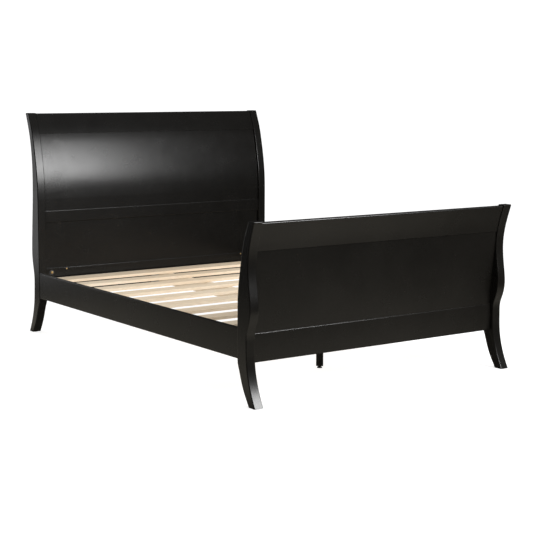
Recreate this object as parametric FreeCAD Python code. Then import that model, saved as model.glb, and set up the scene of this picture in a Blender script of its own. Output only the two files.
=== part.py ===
import FreeCAD, Part
import os
from FreeCAD import Vector

# Queen-size sleigh bed. Millimetres, +Z up, +X across the bed, +Y towards the headboard,
# origin on the floor under the middle of the bed.

os.makedirs("parts", exist_ok=True)

# ---- driving dimensions ------------------------------------------------------------------------
MATTRESS_WIDTH = 1524.0
MATTRESS_LENGTH = 2032.0
WIDTH_CLEARANCE = 28.0      # both sides together, between mattress and side rails
LENGTH_CLEARANCE = 30.0     # both ends together, between mattress and posts
POST_WIDTH = 50.0
HEAD_HEIGHT = 1285.0
FOOT_HEIGHT = 855.0
RAIL_THICKNESS = 22.0
RAIL_BOTTOM = 214.0
RAIL_TOP = 359.0
RAIL_INSET = 2.0            # side rail face behind the outer side of the posts
SLAT_TOP = 333.0
SLAT_THICKNESS = 16.0
SLAT_WIDTH = 95.0
HEAD_SLAT_WIDTH = 120.0
SLAT_COUNT = 10
SLAT_PITCH = 216.0
LAST_SLAT_GAP = 2.0         # the last slat lies close against the footboard
HEAD_SLAT_Y = 948.0         # centre of the slat nearest the headboard
GLIDE_HEIGHT = 3.0          # nail-on glide under each post
EDGE_ROUND = 4.0
FINE_ROUND = 2.0
TINY = 0.01                 # tolerances when picking edges
NEAR_TOP = 1.0
LONG = 20.0

# ---- derived places ----------------------------------------------------------------------------
RAIL_INNER_X = (MATTRESS_WIDTH + WIDTH_CLEARANCE) / 2
RAIL_OUTER_X = RAIL_INNER_X + RAIL_THICKNESS
POST_OUTER_X = RAIL_OUTER_X + RAIL_INSET
POST_INNER_X = POST_OUTER_X - POST_WIDTH
END_Y = (MATTRESS_LENGTH + LENGTH_CLEARANCE) / 2    # mattress side of the posts
SLAT_BOTTOM = SLAT_TOP - SLAT_THICKNESS
HEAD, FOOT = 1, -1

# ---- S-curves: (height, distance outward from END_Y) ---------------------------------------------
FLAT_LOW = 210.0            # the straight part of the mattress side, where the side rails butt
HEAD_FLAT_TOP = 790.0
FOOT_FLAT_TOP = 440.0
HEAD_LEG_INNER = [(GLIDE_HEIGHT, 96), (60, 62), (120, 35), (170, 14), (FLAT_LOW, 0)]
HEAD_TOP_INNER = [(HEAD_FLAT_TOP, 0), (900, 5), (980, 16), (1080, 36), (1180, 62), (HEAD_HEIGHT, 103)]
HEAD_OUTER = [(GLIDE_HEIGHT, 143), (60, 114), (120, 91), (190, 75), (270, 69), (345, 69),
              (385, 77), (430, 87), (480, 91), (540, 89), (700, 77), (830, 68.5), (920, 66.5),
              (1000, 69), (1080, 79), (1150, 94), (1220, 117), (HEAD_HEIGHT, 143)]
FOOT_LEG_INNER = [(GLIDE_HEIGHT, 92), (60, 56), (120, 28), (170, 10), (FLAT_LOW, 0)]
FOOT_TOP_INNER = [(FOOT_FLAT_TOP, 0), (510, 2.5), (580, 11), (650, 24), (720, 39), (780, 57),
                  (FOOT_HEIGHT, 89)]
FOOT_OUTER = [(GLIDE_HEIGHT, 143), (60, 114), (120, 92), (190, 77), (290, 72), (340, 75),
              (375, 88), (410, 99), (445, 103.5), (485, 101.5), (550, 92), (635, 84), (700, 89),
              (770, 106), (FOOT_HEIGHT, 135)]
FOOT_PANEL_FACE = [(300, 46), (350, 48.5), (400, 52), (455, 56.5), (510, 61), (565, 65.5),
                   (620, 70.5), (680, 76), (760, 84)]

# ---- headboard and footboard members -------------------------------------------------------------
PANEL_THICKNESS = 10.0
GROOVE = 8.0
TOP_RAIL_ROUND = 6.0
HEAD_TOP_RAIL = (1167.0, 1282.0)
HEAD_MIDDLE_RAIL = (653.0, 723.0)
HEAD_BOTTOM_RAIL = (214.0, 385.0)
HEAD_RAIL_FACE = 7.0        # faces of the members behind the mattress side of the posts
HEAD_BOTTOM_FACE = 10.0
HEAD_RAIL_BACK = 43.0
HEAD_PANEL_FACE = 11.0
LOWER_PANEL_FACE = 16.0
HEAD_TOP_FACE = 6.0
HEAD_TOP_BACK = 3.0         # top rail behind the outer curve of the posts
FOOT_TOP_RAIL = (715.0, 849.0)
FOOT_BOTTOM_RAIL = (196.0, 333.0)
FOOT_BOTTOM_FACES = (21.5, 51.5)
FOOT_TOP_FACE = 8.0
FOOT_TOP_BACK = 4.0
DOWEL_R = 5.0
DOWEL_LENGTH = 60.0
HEAD_TOP_DOWELS = (1195.0, 1245.0)
HEAD_MIDDLE_DOWELS = (673.0, 703.0)
HEAD_BOTTOM_DOWELS = (250.0, 300.0, 350.0)
FOOT_TOP_DOWELS = (745.0, 810.0)
FOOT_BOTTOM_DOWELS = (230.0, 290.0)

# ---- hardware ------------------------------------------------------------------------------------
BLOCK_WIDTH = 112.0
BLOCK_FACE = 2.0
BOLT_X = 718.0
BOLT_Z = 362.0
BOLT_R = 4.0
BOLT_HEAD_R = 8.0
BOLT_HEAD_HEIGHT = 6.0
NUT_R = 8.0
NUT_DEPTH = 8.0
WASHER_R = 14.0
WASHER_THICKNESS = 1.5
PANEL_SCREW_X = 617.0
PANEL_SCREW_Z = 377.0
LEDGER_WIDTH = 25.0
LEDGER_HEIGHT = 30.0
LEDGER_SCREW_DROP = 20.0    # below the ledger's top, clear of the slat screws' tips
LEDGER_END_GAP = 3.0
LEDGER_SCREW_COUNT = 6
LEDGER_SCREW_MARGIN = 80.0  # from the ledger's end to its first screw
SLAT_END_GAP = 6.0
BEAM_WIDTH = 32.0
BEAM_HEIGHT = 68.0
BEAM_END_PLAY = 1.0
LEG_SIZE = 28.0
LEG_PLACES = (("foot_end", -608.0), ("middle", 0.0))
PAD_R = 13.0
PAD_HEIGHT = 5.0
PAD_ROUND = 1.5
LEVELLER_TRAVEL = 5.0       # the pad can be screwed in this far, up to the leg
STEM_R = 4.0
STEM_LENGTH = 34.0
STEM_CLEARANCE = 0.05
INSERT_R = 6.0
INSERT_LENGTH = 15.0
LEG_BORE_R = 4.6
LEG_BORE_DEPTH = 50.0
STUD_R = 4.0
STUD_LENGTH = 76.0
SHEET = 2.5                 # steel sheet of the beam hangers and hook plates
HANGER_REACH = 45.0
HANGER_FLANGE = 28.0
HANGER_CHEEK_DROP = 12.0    # the cheeks stop this far below the slats
HANGER_SCREW_OUT = 16.0
HANGER_SCREW_HEIGHTS = (12.0, 42.0)
HEAD_TAB_TOP = SLAT_TOP - 8.0
FOOT_TAB_TOP = SLAT_BOTTOM - 7.0
GLIDE_R = 14.0
GLIDE_OUTWARD = 119.0
NAIL_R = 1.5
NAIL_LENGTH = 20.0
JOIN = 1.0                  # overlap where two shapes are fused into one piece

# wood screws: head radius, shank radius, length
PANEL_SCREW = (4.0, 2.0, 28.0)
PLATE_SCREW = (3.5, 1.8, 30.0)
LEDGER_SCREW = (4.5, 2.2, 40.0)
SLAT_SCREW = (4.5, 2.0, 32.0)
# round-headed screws: head radius, head height, shank radius, length
HANGER_SCREW = (4.5, 2.2, 2.2, 22.0)

# knock-down fittings between the side rails and the posts
HOOK_PLATE = (234.0, 339.0)
HOOK_BOTTOMS = (258.0, 300.0)
HOOK_HEIGHT = 18.0
HOOK_REACH = 10.0
HOOK_LIP = 8.0              # the rail drops this far as the hooks seat
HOOK_HALF = 2.0
HOOK_PLAY = 0.3
PLATE_HALF = 8.0
POCKET_HALF = 3.0
POCKET_DEPTH = 11.0
POCKET_MARGIN = 2.0         # above and below the hooks' travel
HOOK_SCREWS = (247.0, 290.0)
SLOT_SCREWS = (241.0, 333.0)


def export(shape, name):
    shape.removeSplitter().exportStep("parts/" + name + ".step")


def export_group(shapes, name):
    Part.makeCompound(shapes).exportStep("parts/" + name + ".step")


def box(x0, x1, y0, y1, z0, z1):
    low = Vector(min(x0, x1), min(y0, y1), min(z0, z1))
    return Part.makeBox(abs(x1 - x0), abs(y1 - y0), abs(z1 - z0), low)


def cut_all(shape, tools):
    for tool in tools:
        shape = shape.cut(tool)
    return shape


def rounded(shape, radius, wanted):
    edges = [edge for edge in shape.Edges if wanted(edge)]
    return shape.makeFillet(radius, edges)


def along_x(edge):
    span = edge.BoundBox
    return span.YLength < TINY and span.ZLength < TINY


def along_y(edge):
    span = edge.BoundBox
    return span.XLength < TINY and span.ZLength < TINY


def long_side(edge):
    span = edge.BoundBox
    return span.XLength < TINY and span.ZLength > LONG


def mirrored(shape):
    return shape.mirror(Vector(0, 0, 0), Vector(1, 0, 0))


def place(end, outward, z):
    """A point of the YZ outline at one end of the bed."""
    return Vector(0, end * (END_Y + outward), z)


def curve(end, stations, shift=0.0):
    """A smooth outline through its stations, free at both ends."""
    spline = Part.BSplineCurve()
    spline.interpolate([place(end, outward + shift, z) for z, outward in stations])
    return spline.toShape()


def curve_from_flat(end, stations, shift, flat_is_low):
    """A smooth outline that runs upright where it meets the flat part of the mattress side."""
    points = [place(end, outward + shift, z) for z, outward in stations]
    upright = Vector(0, 0, 1)
    start = upright if flat_is_low else (points[1] - points[0]).normalize()
    finish = (points[-1] - points[-2]).normalize() if flat_is_low else upright
    spline = Part.BSplineCurve()
    spline.interpolate(points, InitialTangent=start, FinalTangent=finish)
    return spline.toShape()


def band(end, inner_edges, outer_edges, x0, x1):
    """The solid between an inner and an outer outline, both running upward."""
    low = Part.makeLine(inner_edges[0].firstVertex().Point, outer_edges[0].firstVertex().Point)
    high = Part.makeLine(inner_edges[-1].lastVertex().Point, outer_edges[-1].lastVertex().Point)
    loop = Part.Wire(Part.__sortEdges__(inner_edges + [high] + outer_edges + [low]))
    face = Part.Face(loop)
    face.translate(Vector(x0, 0, 0))
    return face.extrude(Vector(x1 - x0, 0, 0))


def inner_outline(end, leg, top, flat_top, shift=0.0):
    flat = Part.makeLine(place(end, shift, FLAT_LOW), place(end, shift, flat_top))
    return [curve_from_flat(end, leg, shift, False), flat, curve_from_flat(end, top, shift, True)]


def head_inner(shift=0.0):
    return inner_outline(HEAD, HEAD_LEG_INNER, HEAD_TOP_INNER, HEAD_FLAT_TOP, shift)


def foot_inner(shift=0.0):
    return inner_outline(FOOT, FOOT_LEG_INNER, FOOT_TOP_INNER, FOOT_FLAT_TOP, shift)


def slab(z_range, end):
    """Everything between two heights at one end of the bed."""
    return box(-POST_OUTER_X, POST_OUTER_X, end * (END_Y - 100), end * (END_Y + 300), *z_range)


def post(end, inner_edges, outer_edges, height):
    shape = band(end, inner_edges, outer_edges, -POST_OUTER_X, -POST_INNER_X)
    return rounded(shape, EDGE_ROUND, lambda edge: edge.BoundBox.ZMax > height - NEAR_TOP or long_side(edge))


def rail_with_soft_top(shape, radius):
    top = shape.BoundBox.ZMax
    return rounded(shape, radius, lambda edge: along_x(edge) and edge.BoundBox.ZMax > top - NEAR_TOP)


def middle_y(shape, z):
    """Mid-thickness of a curved member at one height."""
    layer = shape.common(box(-5, 5, -2000, 2000, z - 0.5, z + 0.5))
    return layer.Solids[0].CenterOfMass.y


def dowels(shape, heights):
    pieces = []
    for z in heights:
        y = middle_y(shape, z)
        for side in (-1, 1):
            start = Vector(side * POST_INNER_X - DOWEL_LENGTH / 2, y, z)
            pieces.append(Part.makeCylinder(DOWEL_R, DOWEL_LENGTH, start, Vector(1, 0, 0)))
    return pieces


def bolt_like(head_r, head_height, shaft_r, shaft_length, start, direction):
    """A round-headed fastener. start is under the head, direction points into the work."""
    shaft = Part.makeCylinder(shaft_r, shaft_length, start, direction)
    base = Part.makeCylinder(head_r, head_height, start, -direction)
    top = start - direction * head_height
    head = rounded(base, head_height * 0.6, lambda edge: (edge.BoundBox.Center - top).Length < TINY)
    return head.fuse(shaft)


def wood_screw(head_r, shaft_r, length, start, direction):
    """A countersunk screw with its flat head flush with the surface at start."""
    head = Part.makeCone(head_r, shaft_r, head_r - shaft_r, start, direction)
    return head.fuse(Part.makeCylinder(shaft_r, length, start, direction))


# ---- headboard -----------------------------------------------------------------------------------
def headboard():
    outer = [curve(HEAD, HEAD_OUTER)]
    left_post = post(HEAD, head_inner(), outer, HEAD_HEIGHT)
    span = (-POST_INNER_X, POST_INNER_X)
    panel_span = (-POST_INNER_X - GROOVE, POST_INNER_X + GROOVE)

    top_body = band(HEAD, head_inner(HEAD_TOP_FACE), [curve(HEAD, HEAD_OUTER, -HEAD_TOP_BACK)], *span)
    top_rail = rail_with_soft_top(top_body.common(slab(HEAD_TOP_RAIL, HEAD)), TOP_RAIL_ROUND)
    face = END_Y + HEAD_RAIL_FACE
    back = END_Y + HEAD_RAIL_BACK
    middle_rail = rounded(box(*span, face, back, *HEAD_MIDDLE_RAIL), EDGE_ROUND, along_x)
    bottom_face = END_Y + HEAD_BOTTOM_FACE
    bottom_rail = rounded(box(*span, bottom_face, back, *HEAD_BOTTOM_RAIL), EDGE_ROUND, along_x)

    panel_back = head_inner(HEAD_PANEL_FACE + PANEL_THICKNESS)
    panel_body = band(HEAD, head_inner(HEAD_PANEL_FACE), panel_back, *panel_span)
    upper_range = (HEAD_MIDDLE_RAIL[1] - GROOVE, HEAD_TOP_RAIL[0] + GROOVE)
    upper_panel = panel_body.common(slab(upper_range, HEAD))
    lower_y = END_Y + LOWER_PANEL_FACE
    lower_range = (HEAD_BOTTOM_RAIL[1] - GROOVE, HEAD_MIDDLE_RAIL[0] + GROOVE)
    lower_panel = box(*panel_span, lower_y, lower_y + PANEL_THICKNESS, *lower_range)

    pegs = dowels(top_rail, HEAD_TOP_DOWELS)
    pegs += dowels(middle_rail, HEAD_MIDDLE_DOWELS)
    pegs += dowels(bottom_rail, HEAD_BOTTOM_DOWELS)

    # corner blocks in front of the ends of the bottom rail, each with its through bolt
    block_face = END_Y + BLOCK_FACE
    inner_x = POST_INNER_X - BLOCK_WIDTH
    block = box(inner_x, POST_INNER_X, block_face, bottom_face, *HEAD_BOTTOM_RAIL)
    block = rounded(block, FINE_ROUND, lambda edge: abs(edge.BoundBox.XMax - inner_x) < TINY
                    and abs(edge.BoundBox.YMax - block_face) < TINY)
    into = Vector(0, 1, 0)
    head_seat = Vector(BOLT_X, block_face - WASHER_THICKNESS, BOLT_Z)
    nut_seat = Vector(BOLT_X, back - NUT_DEPTH, BOLT_Z)
    bolt = bolt_like(BOLT_HEAD_R, BOLT_HEAD_HEIGHT, BOLT_R, back - block_face, head_seat, into)
    washer = Part.makeCylinder(WASHER_R, WASHER_THICKNESS, head_seat, into).cut(bolt)
    nut = Part.makeCylinder(NUT_R, NUT_DEPTH, nut_seat, into).cut(bolt)
    bolts = [bolt, mirrored(bolt)]
    nuts = [nut, mirrored(nut)]
    panel_screws = []
    for side in (-1, 1):
        start = Vector(side * PANEL_SCREW_X, bottom_face, PANEL_SCREW_Z)
        panel_screws.append(wood_screw(*PANEL_SCREW, start, into))

    block = cut_all(block, [bolt])
    bottom_rail = cut_all(bottom_rail, bolts + nuts + panel_screws + [lower_panel] + pegs)
    lower_panel = cut_all(lower_panel, panel_screws)
    middle_rail = cut_all(middle_rail, [lower_panel, upper_panel] + pegs)
    top_rail = cut_all(top_rail, [upper_panel] + pegs)
    left_post = cut_all(left_post, [upper_panel, lower_panel] + pegs)

    export(top_rail, "headboard_top_rail")
    export(middle_rail, "headboard_middle_rail")
    export(upper_panel, "headboard_upper_panel")
    export(lower_panel, "headboard_lower_panel")
    export(block, "headboard_corner_block_right")
    export(mirrored(block), "headboard_corner_block_left")
    export_group(pegs, "headboard_dowels")
    export_group(bolts, "corner_block_bolts")
    export_group([washer, mirrored(washer)], "corner_block_washers")
    export_group(nuts, "corner_block_nuts")
    export_group(panel_screws, "headboard_panel_screws")
    return left_post, bottom_rail


# ---- footboard -----------------------------------------------------------------------------------
def footboard():
    outer = [curve(FOOT, FOOT_OUTER)]
    left_post = post(FOOT, foot_inner(), outer, FOOT_HEIGHT)
    span = (-POST_INNER_X, POST_INNER_X)
    panel_span = (-POST_INNER_X - GROOVE, POST_INNER_X + GROOVE)

    top_body = band(FOOT, foot_inner(FOOT_TOP_BACK), [curve(FOOT, FOOT_OUTER, -FOOT_TOP_FACE)], *span)
    top_rail = rail_with_soft_top(top_body.common(slab(FOOT_TOP_RAIL, FOOT)), TOP_RAIL_ROUND)
    rail_inner = -(END_Y + FOOT_BOTTOM_FACES[0])
    rail_outer = -(END_Y + FOOT_BOTTOM_FACES[1])
    bottom_rail = rounded(box(*span, rail_inner, rail_outer, *FOOT_BOTTOM_RAIL), EDGE_ROUND, along_x)
    panel_front = [curve(FOOT, FOOT_PANEL_FACE)]
    panel_back = [curve(FOOT, FOOT_PANEL_FACE, -PANEL_THICKNESS)]
    panel_range = (FOOT_BOTTOM_RAIL[1] - GROOVE, FOOT_TOP_RAIL[0] + GROOVE)
    panel = band(FOOT, panel_back, panel_front, *panel_span).common(slab(panel_range, FOOT))
    pegs = dowels(top_rail, FOOT_TOP_DOWELS) + dowels(bottom_rail, FOOT_BOTTOM_DOWELS)

    top_rail = cut_all(top_rail, [panel] + pegs)
    bottom_rail = cut_all(bottom_rail, [panel] + pegs)
    left_post = cut_all(left_post, [panel] + pegs)

    export(top_rail, "footboard_top_rail")
    export(panel, "footboard_panel")
    export_group(pegs, "footboard_dowels")
    return left_post, bottom_rail


# ---- hook fittings between the side rails and the posts --------------------------------------------
def fittings(end):
    """Hook plate, slot plate, their screws and the pocket behind them, on the left side."""
    middle = -(RAIL_INNER_X + RAIL_OUTER_X) / 2
    seam = end * END_Y

    def piece(half_width, start, finish, z0, z1):
        return box(middle - half_width, middle + half_width, seam + end * start, seam + end * finish, z0, z1)

    hook_plate = piece(PLATE_HALF, -SHEET, 0, *HOOK_PLATE)
    slot_plate = piece(PLATE_HALF, 0, SHEET, *HOOK_PLATE)
    pockets = [slot_plate]
    for z in HOOK_BOTTOMS:
        arm = piece(HOOK_HALF, 0, HOOK_REACH, z, z + HOOK_HEIGHT)
        lip = piece(HOOK_HALF, SHEET + HOOK_PLAY, HOOK_REACH, z - HOOK_LIP, z)
        hook_plate = hook_plate.fuse(arm).fuse(lip)
        raised = z + HOOK_HEIGHT + HOOK_LIP
        slot_plate = slot_plate.cut(piece(HOOK_HALF + HOOK_PLAY, 0, SHEET, z, raised + HOOK_PLAY))
        pocket_low = z - HOOK_LIP - POCKET_MARGIN
        pockets.append(piece(POCKET_HALF, SHEET, POCKET_DEPTH, pocket_low, raised + POCKET_MARGIN))
    into_rail = Vector(0, -end, 0)
    into_post = Vector(0, end, 0)
    inward = [wood_screw(*PLATE_SCREW, Vector(middle, seam, z), into_rail) for z in HOOK_SCREWS]
    outward = [wood_screw(*PLATE_SCREW, Vector(middle, seam, z), into_post) for z in SLOT_SCREWS]
    hook_plate = cut_all(hook_plate, inward)
    slot_plate = cut_all(slot_plate, outward)
    return hook_plate, slot_plate, inward, outward, pockets


def posts_and_side_rails(head_post, foot_post):
    rail = box(-RAIL_OUTER_X, -RAIL_INNER_X, -END_Y, END_Y, RAIL_BOTTOM, RAIL_TOP)
    rail = rounded(rail, EDGE_ROUND, along_y)
    half = END_Y - LEDGER_END_GAP
    ledger_inner = RAIL_INNER_X - LEDGER_WIDTH
    ledger = box(-RAIL_INNER_X, -ledger_inner, -half, half, SLAT_BOTTOM - LEDGER_HEIGHT, SLAT_BOTTOM)
    ledger_screws = []
    first_y = -half + LEDGER_SCREW_MARGIN
    spacing = -2 * first_y / (LEDGER_SCREW_COUNT - 1)
    for step in range(LEDGER_SCREW_COUNT):
        start = Vector(-ledger_inner, first_y + spacing * step, SLAT_BOTTOM - LEDGER_SCREW_DROP)
        ledger_screws.append(wood_screw(*LEDGER_SCREW, start, Vector(-1, 0, 0)))
    rail = cut_all(rail, ledger_screws)
    ledger = cut_all(ledger, ledger_screws)

    plate_screws = []
    posts = {HEAD: head_post, FOOT: foot_post}
    for end, label in ((HEAD, "head"), (FOOT, "foot")):
        hook_plate, slot_plate, inward, outward, pockets = fittings(end)
        rail = cut_all(rail, [hook_plate] + inward)
        posts[end] = cut_all(posts[end], pockets + outward)
        plate_screws += inward + outward
        export(hook_plate, "rail_hook_plate_" + label + "_left")
        export(slot_plate, "post_slot_plate_" + label + "_left")
        export(mirrored(hook_plate), "rail_hook_plate_" + label + "_right")
        export(mirrored(slot_plate), "post_slot_plate_" + label + "_right")

    glides = []
    sole_x = -(POST_OUTER_X + POST_INNER_X) / 2
    for end, name in ((HEAD, "headboard_post_"), (FOOT, "footboard_post_")):
        sole_y = end * (END_Y + GLIDE_OUTWARD)
        disc = Part.makeCylinder(GLIDE_R, GLIDE_HEIGHT, Vector(sole_x, sole_y, 0))
        nail = Part.makeCylinder(NAIL_R, NAIL_LENGTH, Vector(sole_x, sole_y, GLIDE_HEIGHT - JOIN))
        glide = disc.fuse(nail)
        posts[end] = posts[end].cut(glide)
        glides += [glide, mirrored(glide)]
        export(posts[end], name + "left")
        export(mirrored(posts[end]), name + "right")
    export_group(glides, "post_glides")
    export(rail, "side_rail_left")
    export(mirrored(rail), "side_rail_right")
    export_group(ledger_screws + [mirrored(screw) for screw in ledger_screws], "ledger_screws")
    export_group(plate_screws + [mirrored(screw) for screw in plate_screws], "hook_plate_screws")
    return ledger


# ---- slats, centre beam and legs -------------------------------------------------------------------
def slats(ledger):
    screws = []
    end_x = RAIL_INNER_X - SLAT_END_GAP
    screw_x = RAIL_INNER_X - LEDGER_WIDTH / 2
    near_edge = HEAD_SLAT_Y - HEAD_SLAT_WIDTH / 2
    down = Vector(0, 0, -1)
    for number in range(SLAT_COUNT):
        width = HEAD_SLAT_WIDTH if number == 0 else SLAT_WIDTH
        low_y = max(near_edge - number * SLAT_PITCH, LAST_SLAT_GAP - END_Y)
        board = box(-end_x, end_x, low_y, low_y + width, SLAT_BOTTOM, SLAT_TOP)
        board = rounded(board, FINE_ROUND, along_x)
        middle = low_y + width / 2
        own = [wood_screw(*SLAT_SCREW, Vector(x, middle, SLAT_TOP), down) for x in (-screw_x, screw_x)]
        export(cut_all(board, own), "slat_%02d" % (number + 1))
        ledger = ledger.cut(own[0])
        screws += own
    export_group(screws, "slat_screws")
    export(ledger, "slat_ledger_left")
    export(mirrored(ledger), "slat_ledger_right")


def beam_hanger(face_y, inward, top):
    """Folded steel hanger on a bottom rail. inward is the Y direction towards the middle of the bed."""
    beam_bottom = SLAT_BOTTOM - BEAM_HEIGHT
    half = BEAM_WIDTH / 2
    reach = face_y + inward * HANGER_REACH
    plate_y = face_y + inward * SHEET
    shape = box(-half - SHEET, half + SHEET, face_y, reach, beam_bottom - SHEET, beam_bottom)
    screws = []
    for side in (-1, 1):
        cheek_top = SLAT_BOTTOM - HANGER_CHEEK_DROP
        cheek = box(side * half, side * (half + SHEET), face_y, reach, beam_bottom, cheek_top)
        flange_edge = side * (half + HANGER_FLANGE)
        flange = box(side * half, flange_edge, face_y, plate_y, beam_bottom - SHEET, top)
        shape = shape.fuse(cheek).fuse(flange)
        for rise in HANGER_SCREW_HEIGHTS:
            start = Vector(side * (half + HANGER_SCREW_OUT), plate_y, beam_bottom + rise)
            screws.append(bolt_like(*HANGER_SCREW, start, Vector(0, -inward, 0)))
    return cut_all(shape, screws), screws


def centre_support(head_rail, foot_rail):
    head_face = END_Y + HEAD_BOTTOM_FACE
    foot_face = -(END_Y + FOOT_BOTTOM_FACES[0])
    beam_bottom = SLAT_BOTTOM - BEAM_HEIGHT
    head_hanger, head_screws = beam_hanger(head_face, -1, HEAD_TAB_TOP)
    foot_hanger, foot_screws = beam_hanger(foot_face, 1, FOOT_TAB_TOP)
    half = BEAM_WIDTH / 2
    gap = SHEET + BEAM_END_PLAY
    beam = box(-half, half, foot_face + gap, head_face - gap, beam_bottom, SLAT_BOTTOM)
    leg_bottom = PAD_HEIGHT + LEVELLER_TRAVEL
    half_leg = LEG_SIZE / 2
    studs = []
    inserts = []
    for label, y in LEG_PLACES:
        stud = Part.makeCylinder(STUD_R, STUD_LENGTH, Vector(0, y, beam_bottom - STUD_LENGTH / 2))
        insert = Part.makeCylinder(INSERT_R, INSERT_LENGTH, Vector(0, y, leg_bottom))
        bore = Part.makeCylinder(LEG_BORE_R, LEG_BORE_DEPTH, Vector(0, y, leg_bottom))
        leg = box(-half_leg, half_leg, y - half_leg, y + half_leg, leg_bottom, beam_bottom)
        leg = rounded(leg, FINE_ROUND, lambda edge: edge.BoundBox.ZLength > LEG_SIZE)
        pad = Part.makeCylinder(PAD_R, PAD_HEIGHT, Vector(0, y, 0))
        pad = rounded(pad, PAD_ROUND, lambda edge: edge.BoundBox.ZMin > PAD_HEIGHT - TINY)
        stem = Part.makeCylinder(STEM_R, STEM_LENGTH, Vector(0, y, PAD_HEIGHT - JOIN))
        beam = beam.cut(stud)
        studs.append(stud)
        thread = Part.makeCylinder(STEM_R + STEM_CLEARANCE, INSERT_LENGTH, Vector(0, y, leg_bottom))
        inserts.append(insert.cut(thread))
        export(cut_all(leg, [stud, insert, bore]), "centre_leg_" + label)
        export(pad.fuse(stem), "leveller_" + label)
    export(beam, "centre_beam")
    export(head_hanger, "beam_hanger_head")
    export(foot_hanger, "beam_hanger_foot")
    export_group(studs, "centre_leg_studs")
    export_group(inserts, "leveller_inserts")
    export_group(head_screws + foot_screws, "beam_hanger_screws")
    export(cut_all(head_rail, head_screws), "headboard_bottom_rail")
    export(cut_all(foot_rail, foot_screws), "footboard_bottom_rail")


head_post, head_bottom_rail = headboard()
foot_post, foot_bottom_rail = footboard()
ledger = posts_and_side_rails(head_post, foot_post)
slats(ledger)
centre_support(head_bottom_rail, foot_bottom_rail)
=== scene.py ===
import math
import bpy
from mathutils import Matrix, Vector


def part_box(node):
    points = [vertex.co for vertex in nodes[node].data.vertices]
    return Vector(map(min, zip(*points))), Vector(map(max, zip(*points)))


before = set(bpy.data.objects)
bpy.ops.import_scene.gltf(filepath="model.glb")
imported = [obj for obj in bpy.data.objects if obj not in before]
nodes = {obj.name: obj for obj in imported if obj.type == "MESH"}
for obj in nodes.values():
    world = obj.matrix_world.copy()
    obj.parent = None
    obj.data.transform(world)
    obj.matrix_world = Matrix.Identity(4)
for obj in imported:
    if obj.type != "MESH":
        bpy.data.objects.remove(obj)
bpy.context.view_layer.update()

# camera: lens and sensor in millimetres, place in metres, angles in degrees
SENSOR = 36.0
LENS = 91.5707
EYE = (-4.2007, -6.0982, 1.4866)
HEADING = -35.117
LOOK_DOWN = 7.886
ROLL = 0.218

# studio
WHITE = (1.0, 1.0, 1.0)
FLOOR_SIZE = 80.0
PATCH_SIZE = 40.0
PATCH_DROP = 0.002          # the painted reflection patch lies just below the floor
SURROUND_RADIUS = 60.0
PATCH_REACH = 5.0           # distance from the bed over which the painted light of the mirrored patch fades
WALL = (0.020, 0.020, 0.021)
CEILING_GAIN = 1.6          # how much brighter straight up is than the horizon


def camera():
    data = bpy.data.cameras.new("camera")
    data.sensor_width = SENSOR
    data.lens = LENS
    data.clip_start = 0.05
    data.clip_end = 300.0
    view = bpy.data.objects.new("camera", data)
    turn = Matrix.Rotation(math.radians(HEADING), 4, "Z")
    tilt = Matrix.Rotation(math.radians(90.0 - LOOK_DOWN), 4, "X")
    roll = Matrix.Rotation(math.radians(ROLL), 4, "Z")
    view.matrix_world = Matrix.Translation(EYE) @ turn @ tilt @ roll
    bpy.context.scene.collection.objects.link(view)
    bpy.context.scene.camera = view


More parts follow.
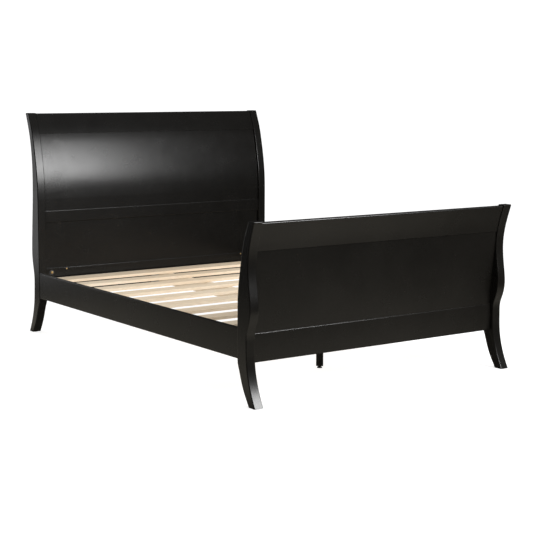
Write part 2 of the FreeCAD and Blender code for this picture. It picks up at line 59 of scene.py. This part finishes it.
class Surface:
    """One procedural material: a Principled shader and short ways to add nodes."""

    def __init__(self, name, stretch=(1.0, 1.0, 1.0)):
        self.material = bpy.data.materials.new(name)
        self.material.use_nodes = True
        self.tree = self.material.node_tree
        self.tree.nodes.clear()
        output = self.tree.nodes.new("ShaderNodeOutputMaterial")
        self.shader = self.tree.nodes.new("ShaderNodeBsdfPrincipled")
        self.link(self.shader.outputs[0], output.inputs["Surface"])
        self.place = self.tree.nodes.new("ShaderNodeTexCoord").outputs["Object"]
        self.grain = self.stretched(stretch)

    def link(self, output, socket):
        self.tree.links.new(output, socket)

    def put(self, value, socket):
        if isinstance(value, bpy.types.NodeSocket):
            self.link(value, socket)
        else:
            socket.default_value = value

    def stretched(self, scale):
        node = self.tree.nodes.new("ShaderNodeMapping")
        node.inputs["Scale"].default_value = scale
        self.link(self.place, node.inputs["Vector"])
        return node.outputs["Vector"]

    def noise(self, where, scale, detail=3.0, rough=0.55, bend=0.0):
        node = self.tree.nodes.new("ShaderNodeTexNoise")
        self.link(where, node.inputs["Vector"])
        node.inputs["Scale"].default_value = scale
        node.inputs["Detail"].default_value = detail
        node.inputs["Roughness"].default_value = rough
        node.inputs["Distortion"].default_value = bend
        return node.outputs["Fac"]

    def ramp(self, factor, *stops):
        node = self.tree.nodes.new("ShaderNodeValToRGB")
        self.link(factor, node.inputs["Fac"])
        elements = node.color_ramp.elements
        while len(elements) < len(stops):
            elements.new(0.5)
        for element, (position, colour) in zip(elements, stops):
            element.position = position
            element.color = (*colour, 1.0) if isinstance(colour, tuple) else (colour, colour, colour, 1.0)
        return node.outputs["Color"]

    def calc(self, operation, first, second=0.0):
        node = self.tree.nodes.new("ShaderNodeMath")
        node.operation = operation
        self.put(first, node.inputs[0])
        self.put(second, node.inputs[1])
        return node.outputs[0]

    def blend(self, factor, first, second):
        node = self.tree.nodes.new("ShaderNodeMix")
        node.data_type = "RGBA"
        self.put(factor, node.inputs[0])
        self.put(first, node.inputs[6])
        self.put(second, node.inputs[7])
        return node.outputs[2]

    def span(self, factor, low, high):
        node = self.tree.nodes.new("ShaderNodeMapRange")
        self.link(factor, node.inputs["Value"])
        node.inputs["To Min"].default_value = low
        node.inputs["To Max"].default_value = high
        return node.outputs[0]

    def edges(self, radius):
        """0 on flat faces, rising to 1 along the eased edges."""
        soft = self.tree.nodes.new("ShaderNodeBevel")
        soft.samples = 4
        soft.inputs["Radius"].default_value = radius
        sharp = self.tree.nodes.new("ShaderNodeNewGeometry")
        dot = self.tree.nodes.new("ShaderNodeVectorMath")
        dot.operation = "DOT_PRODUCT"
        self.link(soft.outputs["Normal"], dot.inputs[0])
        self.link(sharp.outputs["Normal"], dot.inputs[1])
        away = self.calc("SUBTRACT", 1.0, dot.outputs["Value"])
        return self.ramp(away, (0.02, 0.0), (0.25, 1.0))

    def bump(self, height, distance, strength=1.0, under=None):
        node = self.tree.nodes.new("ShaderNodeBump")
        node.inputs["Strength"].default_value = strength
        node.inputs["Distance"].default_value = distance
        self.link(height, node.inputs["Height"])
        if under is not None:
            self.link(under, node.inputs["Normal"])
        return node.outputs["Normal"]

    def finish(self, colour, rough, normal=None, ior=1.5, metallic=0.0):
        self.link(colour, self.shader.inputs["Base Color"])
        self.link(rough, self.shader.inputs["Roughness"])
        if normal is not None:
            self.link(normal, self.shader.inputs["Normal"])
        self.shader.inputs["IOR"].default_value = ior
        self.shader.inputs["Metallic"].default_value = metallic
        return self.material


ALONG = {"x": (0.06, 1.0, 1.0), "y": (1.0, 0.06, 1.0), "z": (1.0, 1.0, 0.06)}


def lacquer(axis):
    """Sprayed black satin lacquer: grain shows through faintly, edges are rubbed a little thin."""
    s = Surface("black_lacquer_" + axis, ALONG[axis])
    cloud = s.noise(s.place, 3.5, 3.0)
    pores = s.noise(s.grain, 420.0, 4.0, 0.6, 0.3)
    peel = s.noise(s.place, 900.0, 2.0)
    handled = s.noise(s.place, 55.0, 4.0, 0.65)
    tone = s.ramp(cloud, (0.30, (0.0030, 0.0027, 0.0022)), (0.70, (0.0048, 0.0043, 0.0036)))
    tone = s.blend(s.ramp(pores, (0.58, 0.0), (0.74, 0.5)), tone, (0.0030, 0.0026, 0.0022, 1.0))
    worn = s.calc("MULTIPLY", s.edges(0.0035), s.ramp(handled, (0.42, 0.0), (0.62, 1.0)))
    colour = s.blend(s.calc("MULTIPLY", worn, 0.55), tone, (0.030, 0.024, 0.019, 1.0))
    gloss = s.span(s.noise(s.place, 11.0, 4.0, 0.6), 0.225, 0.285)
    gloss = s.calc("ADD", gloss, s.calc("MULTIPLY", worn, 0.09))
    gloss = s.calc("ADD", gloss, s.calc("MULTIPLY", pores, 0.02))
    normal = s.bump(pores, 0.00008, 0.35)
    normal = s.bump(peel, 0.00002, 0.35, normal)
    return s.finish(colour, gloss, normal, ior=1.34)


def pine(name, axis, pale, warm, dark):
    """Planed pine: even bands of late wood, broad warm streaks, small knots and fine fibre."""
    s = Surface(name, ALONG[axis])
    drift = s.noise(s.stretched(tuple(0.5 if a < 1.0 else 1.0 for a in ALONG[axis])), 6.0, 2.0)
    rings = s.noise(s.grain, 58.0, 2.0, 0.5, 1.2)
    lines = s.calc("PINGPONG", s.calc("ADD", s.calc("MULTIPLY", rings, 4.5), drift), 0.5)
    fibre = s.noise(s.grain, 900.0, 3.0, 0.6)
    board = s.noise(s.stretched(tuple(0.35 if a < 1.0 else 1.0 for a in ALONG[axis])), 4.3, 1.0)
    knots = s.tree.nodes.new("ShaderNodeTexVoronoi")
    s.link(s.stretched(tuple(0.42 if a < 1.0 else 1.0 for a in ALONG[axis])), knots.inputs["Vector"])
    knots.inputs["Scale"].default_value = 5.2
    knots.inputs["Randomness"].default_value = 1.0
    near = knots.outputs["Distance"]
    tone = s.blend(s.ramp(lines, (0.30, 0.0), (0.50, 0.75)), pale, warm)
    tone = s.blend(s.ramp(board, (0.38, 0.0), (0.66, 0.55)), tone, warm)
    tone = s.blend(s.ramp(fibre, (0.50, 0.0), (0.80, 0.35)), tone, dark)
    tone = s.blend(s.ramp(near, (0.030, 0.85), (0.075, 0.0)), tone, dark)
    tone = s.blend(s.ramp(near, (0.018, 0.80), (0.034, 0.0)), tone, (0.11, 0.055, 0.025, 1.0))
    edge = s.calc("MULTIPLY", s.edges(0.0025), 0.30)
    colour = s.blend(edge, tone, warm)
    rough = s.span(fibre, 0.52, 0.70)
    normal = s.bump(lines, 0.00018, 0.4)
    normal = s.bump(fibre, 0.00008, 0.5, normal)
    return s.finish(colour, rough, normal, ior=1.45)


def metal(name, low, high, shine, wear_colour, **fixed):
    """Small pressed and turned hardware: brushed lines, dull spots and brighter worn edges."""
    s = Surface(name)
    spots = s.noise(s.place, 260.0, 4.0, 0.6)
    brush = s.noise(s.stretched((1.0, 1.0, 14.0)), 900.0, 2.0)
    colour = s.blend(s.edges(0.0008), s.ramp(spots, (0.35, low), (0.65, high)), (*wear_colour, 1.0))
    rough = s.calc("ADD", s.span(spots, shine - 0.07, shine + 0.09), s.calc("MULTIPLY", brush, 0.05))
    return s.finish(colour, rough, s.bump(brush, 0.00002, 0.4), **fixed)


def plastic(name, low, high, shine):
    """Moulded nylon or plastic: a fine spark texture, slightly scuffed on its edges."""
    s = Surface(name)
    spark = s.noise(s.place, 1400.0, 3.0, 0.6)
    scuff = s.noise(s.place, 90.0, 4.0, 0.65)
    colour = s.blend(s.calc("MULTIPLY", s.edges(0.001), 0.4), s.ramp(scuff, (0.35, low), (0.65, high)),
                     tuple(2.2 * c for c in high) + (1.0,))
    rough = s.calc("ADD", s.span(scuff, shine - 0.06, shine + 0.08), s.calc("MULTIPLY", spark, 0.04))
    return s.finish(colour, rough, s.bump(spark, 0.00004, 0.5), ior=1.5)


def materials():
    slat = ((0.82, 0.700, 0.540, 1.0), (0.70, 0.540, 0.365, 1.0), (0.40, 0.235, 0.115, 1.0))
    made = {
        "beech": pine("beech", "x", (0.62, 0.43, 0.27, 1.0), (0.55, 0.36, 0.21, 1.0),
                      (0.36, 0.21, 0.11, 1.0)),
        "brass": metal("brass", (0.50, 0.33, 0.13), (0.68, 0.48, 0.22), 0.30, (0.85, 0.66, 0.36),
                       metallic=1.0),
        "black_steel": metal("black_steel", (0.012, 0.012, 0.013), (0.026, 0.025, 0.025), 0.42,
                             (0.11, 0.11, 0.11), ior=1.6),
        "zinc_steel": metal("zinc_steel", (0.50, 0.51, 0.52), (0.66, 0.67, 0.69), 0.32, (0.80, 0.80, 0.82),
                            metallic=1.0),
        "grey_nylon": plastic("grey_nylon", (0.085, 0.087, 0.090), (0.130, 0.132, 0.135), 0.50),
        "black_plastic": plastic("black_plastic", (0.010, 0.010, 0.011), (0.020, 0.020, 0.021), 0.45),
    }
    for axis in "xyz":
        made["black_lacquer_" + axis] = lacquer(axis)
        made["pine_" + axis] = pine("pine_" + axis, axis, *slat)
    return made


def grain_axis(name):
    low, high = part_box(name)
    size = high - low
    if "panel" in name:
        return "x"
    return "xyz"[max(range(3), key=lambda i: size[i])]


def dress():
    made = materials()
    for name, piece in nodes.items():
        for slot in piece.material_slots:
            kind = slot.material.name.split(".")[0]
            slot.material = made[kind if kind in made else kind + "_" + grain_axis(name)]


def plain(name, glow, albedo):
    """Unmarked studio surface: part of its brightness is its own, so the shadows on it stay light."""
    s = Surface(name)
    s.shader.inputs["Base Color"].default_value = (albedo, albedo, albedo, 1.0)
    s.shader.inputs["Roughness"].default_value = 1.0
    s.shader.inputs["Specular IOR Level"].default_value = 0.0
    s.shader.inputs["Emission Color"].default_value = (*WHITE, 1.0)
    s.shader.inputs["Emission Strength"].default_value = glow
    return s.material


def plane(name, size, height, material):
    bpy.ops.mesh.primitive_plane_add(size=size, location=(0.0, 0.0, height))
    made = bpy.context.object
    made.name = name
    made.data.materials.append(material)
    return made


def painted_reflection_patch():
    """A painted reflection of the floor, seen only in the lacquer: a painted pool of light round the bed
    with a painted shadow under the bed itself, fading outwards and sideways.
    """
    s = Surface("studio_painted_reflection_patch")
    s.tree.nodes.remove(s.shader)
    split = s.tree.nodes.new("ShaderNodeSeparateXYZ")
    s.link(s.place, split.inputs[0])
    beyond = []
    for output, half in (("X", 0.80), ("Y", 1.17)):
        outside = s.calc("SUBTRACT", s.calc("ABSOLUTE", split.outputs[output]), half)
        beyond.append(s.calc("POWER", s.calc("MAXIMUM", outside, 0.0), 2.0))
    distance = s.calc("SQRT", s.calc("ADD", *beyond))
    reach = s.calc("DIVIDE", distance, PATCH_REACH)
    # painted shadow: dark inside the bed's footprint; then a painted pool of light close round the bed,
    # fading to dark further out
    glow = s.ramp(reach, (0.00, (0.12, 0.11, 0.09)), (0.01, (0.40, 0.37, 0.31)), (0.05, (0.82, 0.76, 0.64)),
                  (0.16, (0.80, 0.74, 0.62)), (0.23, (0.40, 0.37, 0.31)), (0.34, (0.12, 0.11, 0.10)),
                  (0.55, (0.03, 0.03, 0.028)), (1.00, (0.01, 0.01, 0.01)))
    # painted falloff: the reflected floor light is dimmer far out to each side
    sideways = s.calc("DIVIDE", s.calc("ADD", split.outputs["X"], 2.0), 5.0)
    dimmer = s.ramp(sideways, (0.12, 0.55), (0.26, 1.0), (0.50, 1.0), (0.76, 0.45))
    light = s.tree.nodes.new("ShaderNodeEmission")
    s.link(glow, light.inputs["Color"])
    s.link(dimmer, light.inputs["Strength"])
    output = next(n for n in s.tree.nodes if n.type == "OUTPUT_MATERIAL")
    s.link(light.outputs[0], output.inputs["Surface"])
    return s.material


def hide_from(piece, *rays):
    for ray in rays:
        setattr(piece, "visible_" + ray, False)


def studio():
    """A pale floor, a white surround seen only by the camera, a painted reflection of the floor seen only
    in reflections, and two soft boxes.
    """
    floor = plane("studio_floor", FLOOR_SIZE, 0.0, plain("studio_floor", glow=0.80, albedo=0.42))
    # the real floor is left out of reflections; the painted reflection patch below stands in for it
    hide_from(floor, "glossy")
    # painted reflection: a sheet that glows only in reflections, with a painted pool of light round the bed
    # and a painted shadow under it
    patch = plane("studio_painted_reflection_patch", PATCH_SIZE, -PATCH_DROP, painted_reflection_patch())
    hide_from(patch, "camera", "diffuse", "transmission", "volume_scatter", "shadow")
    bpy.ops.mesh.primitive_uv_sphere_add(radius=SURROUND_RADIUS, segments=48, ring_count=24)
    surround = bpy.context.object
    surround.name = "studio_surround"
    surround.data.materials.append(plain("studio_surround", glow=1.15, albedo=0.0))
    hide_from(surround, "diffuse", "glossy", "transmission", "volume_scatter", "shadow")
    soft_box("front_soft_box", (1.40, -3.54, 2.19), (-0.62, 1.05, 1.05), 1.20, 1.34, 36.5)
    soft_box("rear_soft_box", (-1.70, 3.40, 0.95), (-1.20, 1.05, 1.00), 2.0, 1.9, 1.0)


def soft_box(name, where, aim, width, height, radiance):
    data = bpy.data.lights.new(name, "AREA")
    data.shape = "RECTANGLE"
    data.size = width
    data.size_y = height
    data.energy = radiance * math.pi * width * height
    box = bpy.data.objects.new(name, data)
    box.location = where
    box.rotation_mode = "QUATERNION"
    box.rotation_quaternion = (Vector(aim) - Vector(where)).to_track_quat("-Z", "Y")
    box.visible_camera = False
    bpy.context.scene.collection.objects.link(box)


def room_light():
    """Light by height in the room: a bright soft ceiling above dim walls, with the same dim tone below the
    horizon.
    """
    world = bpy.data.worlds.new("room_light")
    bpy.context.scene.world = world
    world.use_nodes = True
    tree = world.node_tree
    background = tree.nodes["Background"]
    direction = tree.nodes.new("ShaderNodeTexCoord").outputs["Generated"]
    split = tree.nodes.new("ShaderNodeSeparateXYZ")
    tree.links.new(direction, split.inputs[0])
    rise = tree.nodes.new("ShaderNodeMapRange")
    rise.inputs["From Min"].default_value = -1.0
    rise.inputs["From Max"].default_value = 1.0
    tree.links.new(split.outputs["Z"], rise.inputs["Value"])
    ramp = tree.nodes.new("ShaderNodeValToRGB")
    tree.links.new(rise.outputs[0], ramp.inputs["Fac"])
    stops = ((0.00, WALL), (0.70, WALL), (0.79, (0.09, 0.09, 0.09)), (0.86, (0.50, 0.50, 0.50)),
             (0.93, (1.0, 1.0, 1.0)))
    elements = ramp.color_ramp.elements
    while len(elements) < len(stops):
        elements.new(0.5)
    for element, (position, colour) in zip(elements, stops):
        element.position = position
        element.color = (*colour, 1.0)
    lift = tree.nodes.new("ShaderNodeMapRange")
    lift.inputs["From Min"].default_value = 0.5
    lift.inputs["From Max"].default_value = 1.0
    lift.inputs["To Min"].default_value = 1.0
    lift.inputs["To Max"].default_value = CEILING_GAIN
    tree.links.new(split.outputs["Z"], lift.inputs["Value"])
    tree.links.new(ramp.outputs["Color"], background.inputs["Color"])
    tree.links.new(lift.outputs[0], background.inputs["Strength"])


camera()
dress()
studio()
room_light()
bpy.context.scene.view_settings.view_transform = "Standard"
